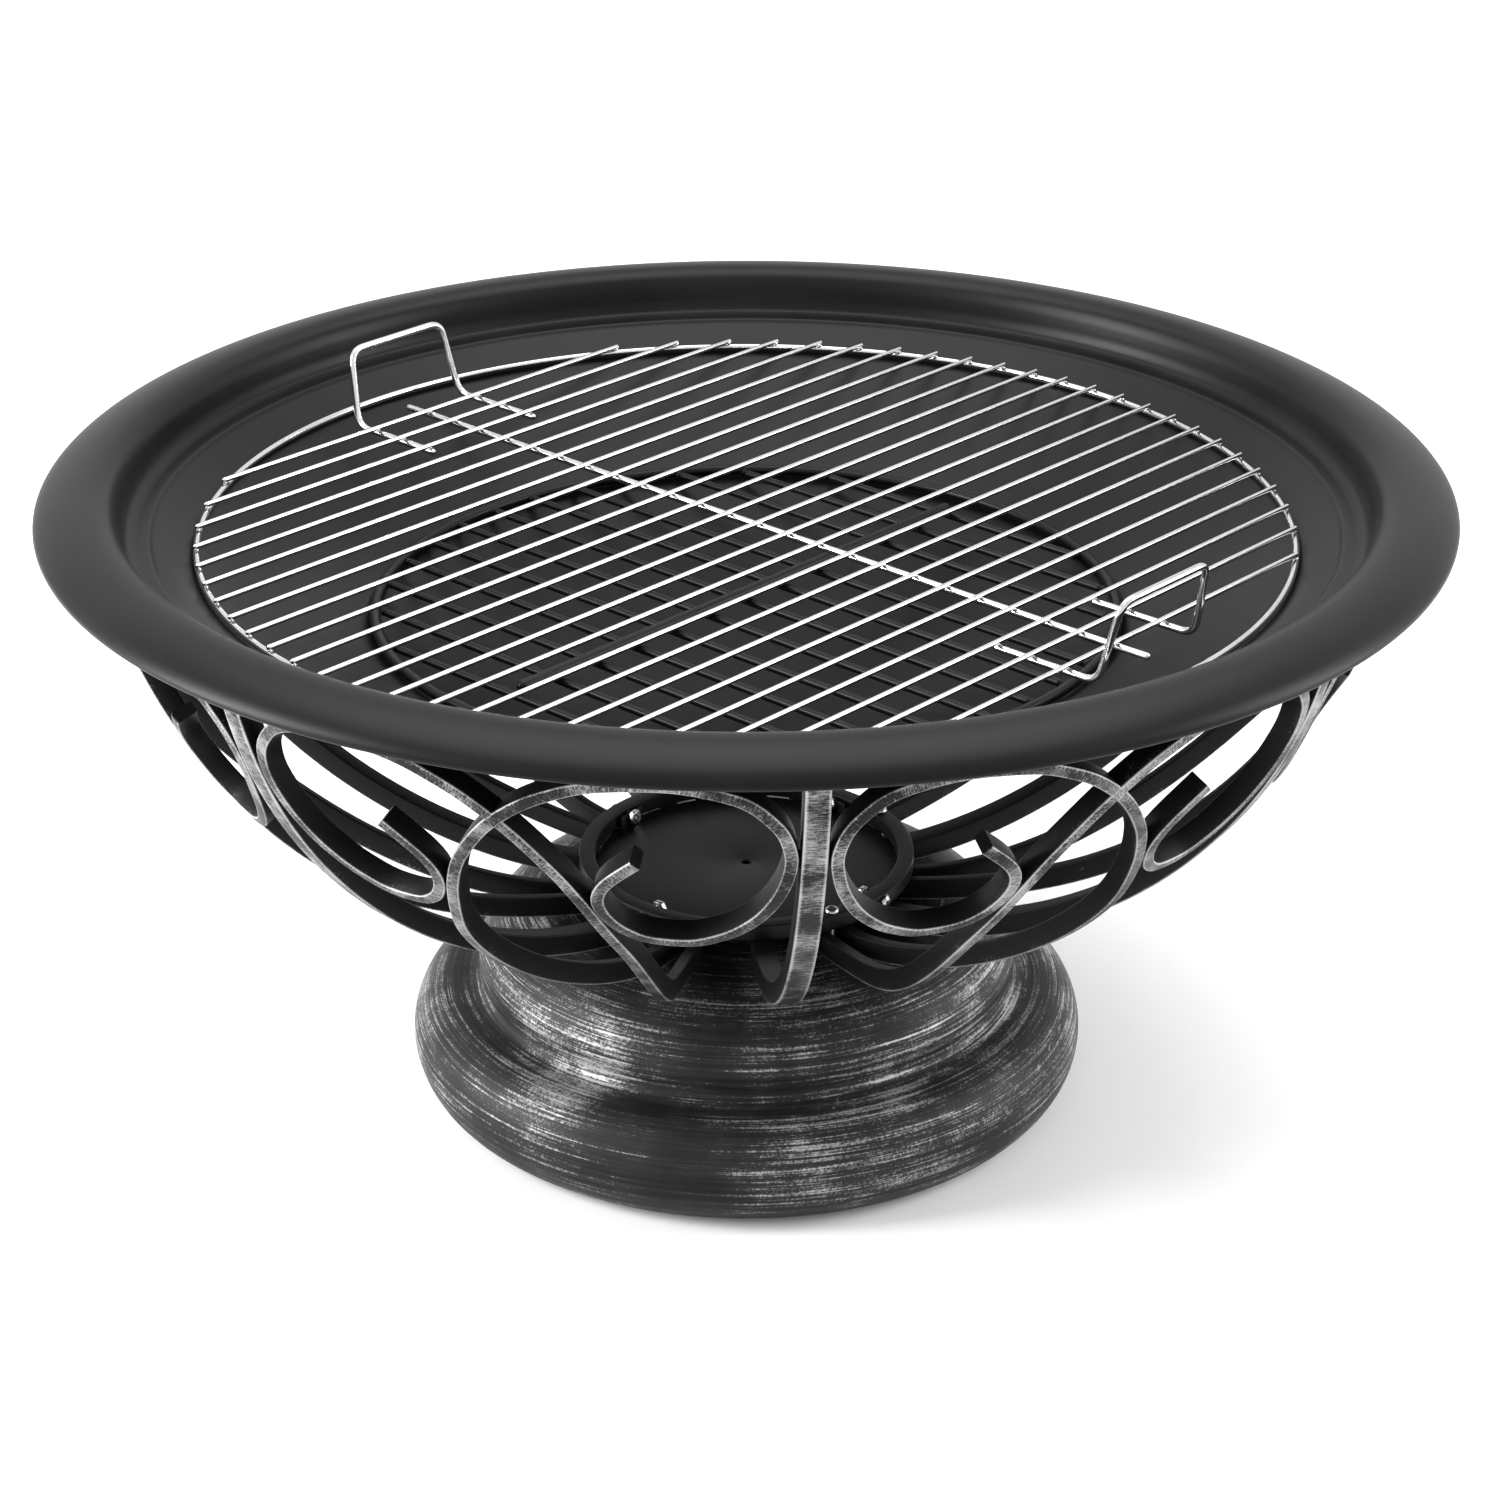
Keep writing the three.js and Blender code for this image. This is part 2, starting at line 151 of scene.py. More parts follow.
class Finish:
    """A named material and the tools to build its node tree."""

    def __init__(self, name: str) -> None:
        """Makes an empty Principled material."""
        self.material = bpy.data.materials.new(name)
        self.material.use_nodes = True
        self.tree = self.material.node_tree
        self.shader = self.tree.nodes["Principled BSDF"]

    def node(self, kind: str, settings: dict[str, Any], inputs: dict[Any, Any]) -> bpy.types.Node:
        """Adds a node.

        Args:
            kind: Blender's node type.
            settings: the node's own attributes, set first.
            inputs: values, sockets or Terms by socket name or index.

        Returns:
            The new node.
        """
        made = self.tree.nodes.new(kind)
        for key, value in settings.items():
            setattr(made, key, value)
        for key, value in inputs.items():
            self.plug(made.inputs[key], value)
        return made

    def plug(self, socket: bpy.types.NodeSocket, value: Any) -> None:
        """Links a Term or socket to an input, or sets its value.

        Args:
            socket: the input.
            value: a Term, a socket or a plain value.
        """
        if isinstance(value, Term):
            value = value.socket
        if isinstance(value, bpy.types.NodeSocket):
            self.tree.links.new(value, socket)
        else:
            socket.default_value = value

    def set(self, **values: Any) -> None:
        """Sets or links the shader's inputs; underscores stand for spaces."""
        for key, value in values.items():
            self.plug(self.shader.inputs[key.replace("_", " ").title()], value)

    def dampen(self, level: float) -> None:
        """Sets how strongly the paint mirrors its surroundings; 0.5 is plain gloss."""
        self.shader.inputs["Specular IOR Level"].default_value = level

    def place(self) -> bpy.types.NodeSocket:
        """Returns the Object coordinates."""
        return self.node("ShaderNodeTexCoord", {}, {}).outputs["Object"]

    def split(self, vector: bpy.types.NodeSocket) -> tuple[Term, Term, Term]:
        """Returns a vector's three numbers."""
        made = self.node("ShaderNodeSeparateXYZ", {}, {0: vector})
        return tuple(Term(self, socket) for socket in made.outputs)

    def vector(self, x: Any, y: Any, z: Any) -> bpy.types.NodeSocket:
        """Returns three numbers as a vector."""
        return self.node("ShaderNodeCombineXYZ", {}, {0: x, 1: y, 2: z}).outputs[0]

    def grain(self, place: bpy.types.NodeSocket, scale: float, detail: float = 3, rough: float = 0.55) -> Term:
        """Returns a noise value of about 0 to 1 over a place.

        Args:
            place: the coordinates.
            scale: lumps to the metre.
            detail: octaves.
            rough: strength of the finer octaves.

        Returns:
            The noise.
        """
        inputs = {"Vector": place, "Scale": scale, "Detail": detail, "Roughness": rough}
        made = self.node("ShaderNodeTexNoise", {}, inputs)
        return Term(self, made.outputs[0])

    def blend(self, mask: Term, under: Triple, over: Triple) -> bpy.types.NodeSocket:
        """Returns a colour that goes from under to over by a mask.

        Args:
            mask: 0 for under, 1 for over.
            under: linear RGB.
            over: linear RGB.

        Returns:
            The colour.
        """
        made = self.node(
            "ShaderNodeMix", {"data_type": "RGBA"}, {"Factor": mask, 6: (*under, 1), 7: (*over, 1)}
        )
        return made.outputs[2]

    def relief(self, height: Term, distance: float, strength: float = 1.0) -> None:
        """Raises the surface's normal by a height times a distance in metres."""
        made = self.node("ShaderNodeBump", {}, {"Height": height, "Distance": distance, "Strength": strength})
        self.set(normal=made.outputs[0])


# Finishes


@dataclass(frozen=True)
class PowderCoat:
    """Satin black powder coat with a fine grain."""

    name: str = "satin_powder_coat"
    colour: Triple = (0.0030, 0.0030, 0.0032)
    worn: Triple = (0.0065, 0.0065, 0.0067)
    gloss: float = 0.14
    roughness: float = 0.31
    grain_size: float = 1500.0
    grain_depth: float = 0.00006

    def make(self) -> bpy.types.Material:
        """Builds the material.

        Returns:
            The material.
        """
        finish = Finish(self.name)
        place = finish.place()
        cloud = finish.grain(place, 14, 4)
        fine = finish.grain(place, self.grain_size, 2)
        dust = finish.grain(place, 420, 3).step(0.62, 0.8)
        finish.set(
            base_color=finish.blend(cloud.step(0.35, 0.8) * 0.6 + dust * 0.25, self.colour, self.worn),
            roughness=self.roughness + cloud * 0.07 + fine * 0.05,
            metallic=0.0,
        )
        finish.relief(fine + dust * 0.5, self.grain_depth)
        finish.dampen(self.gloss)
        return finish.material


@dataclass(frozen=True)
class AntiqueBar:
    """Black bar whose outward face and arrises are dry-brushed with silver.

    It reads the 'strip' attribute: metres along the bar, -1 to 1 across it, and
    0 at the outward face to 1 at the inward one.
    """

    name: str = "antique_bar_paint"
    black: Triple = (0.0035, 0.0035, 0.0037)
    silver: Triple = (0.38, 0.38, 0.373)
    gloss: float = 0.14
    bare_below: float = 0.14
    full_above: float = 0.24
    stroke_pitch: float = 1500.0
    patch_size: float = 34.0

    def make(self) -> bpy.types.Material:
        """Builds the material.

        Returns:
            The material.
        """
        finish = Finish(self.name)
        place = finish.place()
        strip = finish.node("ShaderNodeAttribute", {"attribute_name": "strip"}, {}).outputs["Vector"]
        along, across, depth = finish.split(strip)
        strokes = finish.grain(finish.vector(along * self.stroke_pitch, across * 0.9, depth * 2), 1.0, 4, 0.65)
        patches = finish.grain(place, self.patch_size, 3)
        speck = finish.grain(place, 900, 3, 0.7)
        outward = depth.step(0.10, 0.02)
        arris = across.absolute().step(0.66, 0.95) * outward
        low = finish.split(place)[2].step(self.full_above, self.bare_below)
        brushed = (strokes * 0.5 + patches * 0.5 + speck * 0.2 + arris * 0.16 - low * 0.09).step(0.54, 0.80) * outward
        edge = across.absolute().step(0.80, 0.98) * outward * (speck * 0.6 + patches * 0.5).step(0.38, 0.62) * 0.8
        brushed = brushed.maximum(edge)
        spray = depth.step(0.42, 0.04) * (speck * 0.8 + patches * 0.45).step(0.70, 0.88) * 0.4
        stray = (finish.grain(place, 260, 4, 0.7) * 0.75 + patches * 0.35).step(0.68, 0.80) * 0.12
        paint = brushed.maximum(spray).maximum(stray)
        finish.set(
            base_color=finish.blend(paint, self.black, self.silver),
            metallic=paint * 0.75,
            roughness=0.40 + strokes * 0.12 - paint * 0.08,
        )
        finish.relief(paint * 0.6 + speck * 0.5, 0.00012)
        finish.dampen(self.gloss)
        return finish.material


@dataclass(frozen=True)
class AntiquePedestal:
    """Black spun shell with silver streaks brushed round it."""

    name: str = "antique_pedestal_paint"
    black: Triple = (0.0045, 0.0045, 0.0047)
    haze: Triple = (0.026, 0.026, 0.026)
    silver: Triple = (0.42, 0.42, 0.413)
    gloss: float = 0.16
    streak_pitch: float = 420.0

    def make(self) -> bpy.types.Material:
        """Builds the material.

        Returns:
            The material.
        """
        finish = Finish(self.name)
        place = finish.place()
        x, y, z = finish.split(place)
        radius = (x * x + y * y).root()
        level = (z - radius) * 0.7
        turned = finish.vector(x / radius, y / radius, level * self.streak_pitch)
        hair = finish.vector(x / radius * 3, y / radius * 3, level * self.streak_pitch * 4)
        streaks = finish.grain(turned, 1.4, 6, 0.72)
        hairs = finish.grain(hair, 1.1, 4, 0.7)
        patches = finish.grain(place, 13, 4, 0.6)
        specks = finish.grain(place, 620, 4, 0.75)
        tilted = finish.grain(finish.vector(x * 60 + z * 480, y * 60, z * 500 - x * 330), 1.0, 4, 0.65)
        scrubbed = finish.grain(place, 8.5, 2).step(0.60, 0.72) * tilted.step(0.56, 0.68) * specks.step(0.42, 0.60)
        haze = (streaks * 0.6 + patches * 0.55 + hairs * 0.25).step(0.52, 0.86)
        bright = (streaks * 0.55 + patches * 0.42 + specks * 0.28 + hairs * 0.2).step(0.75, 0.87)
        dotted = hairs.step(0.56, 0.66) * specks.step(0.50, 0.62) * (patches + streaks * 0.4).step(0.60, 0.78) * 0.8
        dust = (specks * 0.7 + patches * 0.35 + streaks * 0.2).step(0.74, 0.84) * 0.55
        paint = bright.maximum(scrubbed * 0.75).maximum(dust).maximum(dotted)
        under = finish.blend(haze, self.black, self.haze)
        colour = finish.node("ShaderNodeMix", {"data_type": "RGBA"}, {"Factor": paint, 6: under, 7: (*self.silver, 1)})
        finish.set(
            base_color=colour.outputs[2],
            metallic=paint * 0.7,
            roughness=0.44 + hairs * 0.16 - haze * 0.05,
        )
        finish.relief(hairs * 0.5 + paint * 0.5 + specks * 0.2, 0.00012)
        finish.dampen(self.gloss)
        return finish.material


@dataclass(frozen=True)
class PlatePaint:
    """Smooth black plate with faint parallel brush lines."""

    name: str = "brushed_black_plate"
    black: Triple = (0.005, 0.005, 0.0052)
    line: Triple = (0.016, 0.016, 0.016)
    gloss: float = 0.2

    def make(self) -> bpy.types.Material:
        """Builds the material.

        Returns:
            The material.
        """
        finish = Finish(self.name)
        x, y, z = finish.split(finish.place())
        lines = finish.grain(finish.vector(x * 30, y * 900, z * 200), 1.0, 4, 0.6)
        cloud = finish.grain(finish.place(), 18, 3)
        finish.set(
            base_color=finish.blend((lines * 0.7 + cloud * 0.4).step(0.5, 0.8), self.black, self.line),
            roughness=0.34 + lines * 0.18,
            metallic=0.1,
        )
        finish.relief(lines, 0.00005)
        finish.dampen(self.gloss)
        return finish.material


@dataclass(frozen=True)
class Metal:
    """Bare or plated metal with faint drawing lines and tarnish."""

    name: str
    colour: Triple
    dull: Triple
    roughness: float
    relief: float = 0.00003

    def make(self) -> bpy.types.Material:
        """Builds the material.

        Returns:
            The material.
        """
        finish = Finish(self.name)
        place = finish.place()
        cloud = finish.grain(place, 22, 3)
        fine = finish.grain(place, 700, 3, 0.6)
        finish.set(
            base_color=finish.blend((cloud * 0.6 + fine * 0.5).step(0.52, 0.8), self.colour, self.dull),
            roughness=self.roughness + cloud * 0.06 + fine * 0.06,
            metallic=1.0,
        )
        finish.relief(fine, self.relief)
        return finish.material


@dataclass(frozen=True)
class Enamel:
    """Dark paint of one colour over wire, bar or weld."""

    name: str
    colour: Triple
    chalk: Triple
    roughness: float
    relief: float
    gloss: float = 0.16

    def make(self) -> bpy.types.Material:
        """Builds the material.

        Returns:
            The material.
        """
        finish = Finish(self.name)
        place = finish.place()
        cloud = finish.grain(place, 30, 3)
        fine = finish.grain(place, 800, 3, 0.6)
        finish.set(
            base_color=finish.blend((cloud * 0.5 + fine * 0.5).step(0.5, 0.75), self.colour, self.chalk),
            roughness=self.roughness + fine * 0.12,
            metallic=0.0,
        )
        finish.relief(fine, self.relief)
        finish.dampen(self.gloss)
        return finish.material


class Finishes:
    """Every finish of the object, made once."""

    def __init__(self) -> None:
        """Makes the materials."""
        self.bowl = PowderCoat().make()
        self.bar = AntiqueBar().make()
        self.pedestal = AntiquePedestal().make()
        self.plate = PlatePaint().make()
        self.chrome = Metal("chrome_wire", (0.66, 0.66, 0.67), (0.48, 0.48, 0.49), 0.08).make()
        self.zinc = Metal("zinc_plate", (0.50, 0.51, 0.52), (0.32, 0.33, 0.34), 0.22, 0.00006).make()
        self.black_wire = Enamel(
            "black_wire_enamel", (0.0035, 0.0035, 0.0037), (0.009, 0.009, 0.0093), 0.28, 0.00004
        ).make()
        self.black_bar = Enamel("black_bar_paint", (0.004, 0.004, 0.0042), (0.012, 0.012, 0.0124), 0.38, 0.00006).make()


# Mesh building


def finish_piece(
    name: str, mesh: BMesh, material: bpy.types.Material, body: Body, nodes: Iterable[str]
) -> bpy.types.Object:
    """Turns a bmesh into a piece that rides on a body.

    Args:
        name: the piece's name.
        mesh: its geometry, in metres in the frame; it is freed.
        material: its finish.
        body: the body it rides on.
        nodes: the CAD nodes it stands for.

    Returns:
        The new object, at the origin.
    """
    data = bpy.data.meshes.new(name)
    mesh.to_mesh(data)
    mesh.free()
    data.shade_smooth()
    data.set_sharp_from_angle(angle=CREASE)
    data.materials.append(material)
    piece = bpy.data.objects.new(name, data)
    bpy.context.scene.collection.objects.link(piece)
    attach(piece, body.value)
    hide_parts(*nodes)
    LOG.info("%s: %d faces", name, len(data.polygons))
    return piece


def spline(points: Sequence[Sequence[float]], steps: int) -> list[Vector]:
    """Returns a centripetal Catmull-Rom curve through points.

    Args:
        points: at least two points of equal size.
        steps: divisions between neighbouring points.

    Returns:
        The curve's points, ends included.
    """
    given = [Vector(point) for point in points]
    ends = [2 * given[0] - given[1], *given, 2 * given[-1] - given[-2]]
    curve = []
    for index in range(len(given) - 1):
        before, start, stop, after = ends[index : index + 4]
        gaps = ((before, start), (start, stop), (stop, after))
        first, middle, last = (max((b - a).length, 1e-8) ** 0.5 for a, b in gaps)
        leave = ((start - before) / first - (stop - before) / (first + middle) + (stop - start) / middle) * middle
        arrive = ((stop - start) / middle - (after - start) / (middle + last) + (after - stop) / last) * middle
        for step in range(steps):
            t = step / steps
            curve.append(
                start + leave * t + (3 * (stop - start) - 2 * leave - arrive) * t**2
                + (2 * (start - stop) + leave + arrive) * t**3
            )
    return [*curve, given[-1]]


def rounded(corners: Sequence[Triple], steps: int = 5) -> list[Point]:
    """Returns a closed outline with each corner (x, y, radius) rounded.

    Args:
        corners: the corners in order.
        steps: divisions of each rounding.

    Returns:
        The outline's points.
    """
    outline = []
    for index, (x, y, radius) in enumerate(corners):
        corner = Vector((x, y))
        if radius == 0:
            outline.append(tuple(corner))
            continue
        before = (Vector(corners[index - 1][:2]) - corner).normalized() * radius + corner
        after = (Vector(corners[(index + 1) % len(corners)][:2]) - corner).normalized() * radius + corner
        for step in range(steps + 1):
            t = step / steps
            outline.append(tuple(before * (1 - t) ** 2 + corner * 2 * t * (1 - t) + after * t**2))
    return outline


def thickened(face: Sequence[Sequence[float]], wall: float) -> list[Point]:
    """Returns a closed outline: a face, then the same face set off to its right.

    Args:
        face: points of (radius, height).
        wall: the thickness.

    Returns:
        The outline's points.
    """
    back = []
    for index, (r, z) in enumerate(face):
        r0, z0 = face[max(index - 1, 0)]
        r1, z1 = face[min(index + 1, len(face) - 1)]
        length = math.hypot(r1 - r0, z1 - z0)
        back.append((r if r == 0 else r + wall * (z1 - z0) / length, z - wall * (r1 - r0) / length))
    return [*map(tuple, face), *reversed(back)]


def revolve(outline: Sequence[Point], steps: int, closed: bool = True) -> BMesh:
    """Spins an outline of (radius, height) in millimetres about the vertical axis.

    Args:
        outline: the points in order.
        steps: facets round the turn.
        closed: whether the last point joins the first.

    Returns:
        A new bmesh in metres.
    """
    made = bmesh.new()
    verts = [made.verts.new((r * MM, 0, z * MM)) for r, z in outline]
    pairs = list(zip(verts, verts[1:])) + ([(verts[-1], verts[0])] if closed else [])
    edges = [made.edges.new(pair) for pair in pairs]
    bmesh.ops.spin(
        made, geom=verts + edges, cent=(0, 0, 0), axis=(0, 0, 1), angle=FULL_TURN, steps=steps, use_merge=True
    )
    bmesh.ops.remove_doubles(made, verts=made.verts, dist=1e-6)
    bmesh.ops.recalc_face_normals(made, faces=made.faces)
    return made


def round_section(radius: float, sides: int) -> BMesh:
    """Returns a circle's edges, of a radius in millimetres.

    Args:
        radius: the radius.
        sides: the number of edges.

    Returns:
        A new bmesh.
    """
    made = bmesh.new()
    bmesh.ops.create_circle(made, segments=sides, radius=radius * MM)
    return made


def bar_section(width: float, outer: float, inner: float, corner: float) -> BMesh:
    """Returns a bar's section with rounded arrises, and its strip coordinates.

    Args:
        width: millimetres across the bar (Y).
        outer: height of the outward face along X.
        inner: height of the inward face along X.
        corner: radius of the arrises.

    Returns:
        A bmesh that holds one loop of edges.
    """
    made = bmesh.new()
    depth = outer - inner
    shape = Matrix.Translation(((outer + inner) / 2 * MM, 0, 0)) @ Matrix.Diagonal((depth * MM, width * MM, 1, 1))
    bmesh.ops.create_grid(made, x_segments=1, y_segments=1, size=0.5, matrix=shape)
    bmesh.ops.bevel(
        made, geom=list(made.verts), offset=corner * MM, segments=3, profile=0.5, affect="VERTICES", material=-1
    )
    bmesh.ops.delete(made, geom=list(made.faces), context="FACES_ONLY")
    strip = made.verts.layers.float_vector.new("strip")
    for vert in made.verts:
        vert[strip] = Vector((0, vert.co.y / (width * MM / 2), (outer * MM - vert.co.x) / (depth * MM)))
    return made


@dataclass
class Station:
    """One place along a sweep: its frame, its distance and its section's scale."""

    frame: Matrix
    along: float
    scale: float = 1.0

    @property
    def placed(self) -> Matrix:
        """The frame with the section's scale in it."""
        return self.frame @ Matrix.Diagonal((self.scale, self.scale, 1, 1))


def sweep(section: BMesh, stations: Sequence[Station], shift: float = 0.0) -> BMesh:
    """Extrudes a section's edges from station to station and closes both ends.

    Args:
        section: a loop of edges in the XY plane, used up by the sweep.
        stations: at least two places.
        shift: added to the strip coordinate, so that bars differ.

    Returns:
        The same bmesh, now a closed bar.
    """
    strip = section.verts.layers.float_vector.get("strip")
    edges = list(section.edges)
    verts = list(section.verts)
    bmesh.ops.transform(section, matrix=stations[0].placed, verts=verts)
    ends = [edges]
    if strip is not None:
        for vert in verts:
            vert[strip].x = stations[0].along + shift
    for here, there in zip(stations, stations[1:]):
        made = bmesh.ops.extrude_edge_only(section, edges=edges)["geom"]
        verts = [item for item in made if isinstance(item, bmesh.types.BMVert)]
        fresh = set(verts)
        edges = [item for item in made if isinstance(item, bmesh.types.BMEdge) and fresh.issuperset(item.verts)]
        bmesh.ops.transform(section, matrix=there.placed @ here.placed.inverted(), verts=verts)
        if strip is not None:
            for vert in verts:
                vert[strip].x = there.along + shift
    ends.append(edges)
    for loop in ends:
        bmesh.ops.contextual_create(section, geom=loop)
    bmesh.ops.recalc_face_normals(section, faces=section.faces)
    return section


def along_path(points: Sequence[Vector], up: Vector) -> list[Station]:
    """Returns stations along a path, each square to it and turned to 'up'.

    Args:
        points: the path, in metres.
        up: the way each section's X leans.

    Returns:
        One station to a point.
    """
    stations, travelled = [], 0.0
    for index, point in enumerate(points):
        ahead = (points[min(index + 1, len(points) - 1)] - points[max(index - 1, 0)]).normalized()
        side = ahead.cross(up).normalized()
        lift = side.cross(ahead)
        if index:
            travelled += (point - points[index - 1]).length
        frame_here = Matrix((lift, -side, ahead)).transposed().to_4x4()
        frame_here.translation = point
        stations.append(Station(frame_here, travelled))
    return stations


def wire(points: Sequence[Vector], radius: float, sides: int = 12, up: Vector = Vector((0, 0, 1))) -> BMesh:
    """Returns a round wire along points in metres, with domed tips.

    Args:
        points: the centre line.
        radius: the wire's radius in millimetres.
        sides: facets round it.
        up: a direction not along the wire.

    Returns:
        A new bmesh.
    """
    first, *middle, last = along_path(points, up)

    def tip(end: Station, reach: float, scale: float = 1.0) -> Station:
        """Returns a station set in from an end by a number of wire radii."""
        return Station(end.frame @ Matrix.Translation((0, 0, reach * radius * MM)), end.along, scale)

    head = [tip(first, 1 - back, scale) for back, scale in TIP]
    tail = [tip(last, back - 1, scale) for back, scale in reversed(TIP)]
    stations = [*head, tip(first, 1.0), *middle, tip(last, -1.0), *tail]
    return sweep(round_section(radius, sides), stations)


def ring_wire(radius: float, wire_radius: float, height: float, steps: int, sides: int) -> BMesh:
    """Returns a wire ring about the vertical axis, all in millimetres.

    Args:
        radius: the centre line's radius.
        wire_radius: the wire's own radius.
        height: the centre line's height.
        steps: facets round the ring.
        sides: facets round the wire.

    Returns:
        A new bmesh.
    """
    outline = [
        (radius + wire_radius * math.cos(FULL_TURN * k / sides), height + wire_radius * math.sin(FULL_TURN * k / sides))
        for k in range(sides)
    ]
    return revolve(outline, steps)


def bead(centre: Vector, size: Vector, turned: Matrix, seed: float) -> BMesh:
    """Returns a lumpy weld bead.

    Args:
        centre: its place in metres.
        size: its half lengths in metres along the turned axes.
        turned: the rotation of its axes.
        seed: moves its lumps.

    Returns:
        A new bmesh.
    """
    made = bmesh.new()
    bmesh.ops.create_icosphere(made, subdivisions=2, radius=1.0)
    for vert in made.verts:
        vert.co *= 1 + 0.22 * noise.noise(vert.co * 1.9 + Vector((seed, seed * 0.7, 3.1)))
    placed = Matrix.Translation(centre) @ turned.to_4x4() @ Matrix.Diagonal((*size, 1))
    bmesh.ops.transform(made, matrix=placed, verts=made.verts)
    return made


def gathered(parts: Iterable[BMesh]) -> BMesh:
    """Returns one bmesh that holds every part; the parts are freed.

    Args:
        parts: the bmeshes.

    Returns:
        A new bmesh.
    """
    whole = bmesh.new()
    for part in parts:
        mesh = bpy.data.meshes.new("part")
        part.to_mesh(mesh)
        part.free()
        whole.from_mesh(mesh)
        bpy.data.meshes.remove(mesh)
    return whole


def turned(part: BMesh, degrees: float) -> BMesh:
    """Turns a bmesh about the vertical axis and returns it."""
    bmesh.ops.rotate(part, cent=(0, 0, 0), matrix=Matrix.Rotation(math.radians(degrees), 3, "Z"), verts=part.verts)
    return part


# Fire bowl


@dataclass
class FireBowl:
    """The pressed steel bowl with its domed lip, seat step and sloping wall."""

    rim_height: float = 358.0
    wall: float = 2.0
    steps: int = 240
    floor: tuple[Point, ...] = ((0, -103), (45, -102.6), (95, -99.8), (150, -91), (200, -74.7), (215, -67.1))
    lip: tuple[Point, ...] = (
        (328, -12.5), (332.2, -10.9), (334.6, -6.5), (335.6, -1), (336.8, 4.2), (340.2, 9.6), (346.5, 12.8),
        (354, 13.3), (362, 12.0), (370, 9.2), (376, 5.8), (379.2, 2.6),
    )
    hem: tuple[Point, ...] = ((379.9, 0.8), (379.7, -0.6), (378.6, -1.4), (377.2, -1.0))

    def outline(self) -> list[Point]:
        """Returns the sheet's closed outline, from the axis round and back.

        Returns:
            Points of (radius, height).
        """
        inside = [tuple(point) for point in spline(self.floor, 6)]
        seat = [(317.6, -15.2), (318.9, -14.4), (319.6, -13.3), (320.6, -12.6), (322, -12.5), (326, -12.5)]
        over = [tuple(point) for point in spline((*self.lip, *self.hem), 4)]
        face = [(r, z + self.rim_height) for r, z in [*inside, *seat, *over]]
        return thickened(face, self.wall)

    def build(self, finishes: Finishes) -> None:
        """Makes the bowl."""
        bowl = revolve(self.outline(), self.steps, closed=False)
        finish_piece("bowl", bowl, finishes.bowl, Body.BOWL, ["fire_bowl"])


# Basket


@dataclass
class BasketForm:
    """The bowl-shaped surface that every bar's outward face lies on."""

    foot: Point = (86.5, 114.8)
    belly: Point = (208.2, 121.1)
    shoulder: Point = (327.6, 218.8)
    top: Point = (349.7, 351.6)
    samples: int = 400
    table: list[tuple[float, Vector]] = field(default_factory=list)

    def __post_init__(self) -> None:
        """Tabulates distance along the outline."""
        travelled, last = 0.0, None
        for index in range(self.samples + 1):
            point = self._bezier(index / self.samples)
            if last is not None:
                travelled += (point - last).length
            self.table.append((travelled, point))
            last = point

    def _bezier(self, t: float) -> Vector:
        """Returns the outline's point at a Bezier parameter."""
        a, b, c, d = (Vector(point) for point in (self.foot, self.belly, self.shoulder, self.top))
        u = 1 - t
        return a * u**3 + 3 * b * u**2 * t + 3 * c * u * t**2 + d * t**3

    @property
    def length(self) -> float:
        """The outline's length in millimetres."""
        return self.table[-1][0]

    def at(self, distance: float) -> tuple[Vector, Vector]:
        """Returns the point and the direction at a distance up the outline.

        Args:
            distance: millimetres from the foot.

        Returns:
            The point and the unit direction.
        """
        low, high = 0, self.samples
        distance = min(max(distance, 0.0), self.length)
        while high - low > 1:
            middle = (low + high) // 2
            low, high = (middle, high) if self.table[middle][0] <= distance else (low, middle)
        (s0, p0), (s1, p1) = self.table[low], self.table[high]
        return p0.lerp(p1, (distance - s0) / (s1 - s0)), (p1 - p0).normalized()

    def place(self, azimuth: float, distance: float, depth: float = 0.0) -> tuple[Vector, Vector]:
        """Returns a point on the form in metres, and its outward direction.

        Args:
            azimuth: degrees from the front towards the right.
            distance: millimetres up the form.
            depth: millimetres inwards from the form.

        Returns:
            The point and the outward normal.
        """
        (r, z), (dr, dz) = self.at(distance)
        r, z = r - dz * depth, z + dr * depth
        sine, cosine = math.sin(math.radians(azimuth)), math.cos(math.radians(azimuth))
        return Vector((r * sine, -r * cosine, z)) * MM, Vector((dz * sine, -dz * cosine, -dr))

    def stations(self, flat: Sequence[Point], spacing: float) -> list[Station]:
        """Returns evenly spaced stations along a flat path bent over the form.

        Args:
            flat: points of (azimuth, distance).
            spacing: about how far apart, in millimetres.

        Returns:
            The stations.
        """
        points = [self.place(*spot) for spot in flat]
        lengths = [0.0]
        for (a, _), (b, _) in zip(points, points[1:]):
            lengths.append(lengths[-1] + (b - a).length)
        count = max(round(lengths[-1] / (spacing * MM)), 2)
        chosen, cursor = [], 0
        for index in range(count + 1):
            target = lengths[-1] * index / count
            while cursor < len(lengths) - 2 and lengths[cursor + 1] < target:
                cursor += 1
            share = (target - lengths[cursor]) / max(lengths[cursor + 1] - lengths[cursor], 1e-9)
            (p0, n0), (p1, n1) = points[cursor], points[cursor + 1]
            chosen.append((p0.lerp(p1, share), n0.lerp(n1, share), target))
        stations = []
        for index, (point, outward, travelled) in enumerate(chosen):
            ahead = (chosen[min(index + 1, count)][0] - chosen[max(index - 1, 0)][0]).normalized()
            outward = (outward - ahead * outward.dot(ahead)).normalized()
            here = Matrix((outward, ahead.cross(outward), ahead)).transposed().to_4x4()
            here.translation = point
            stations.append(Station(here, travelled))
        return stations


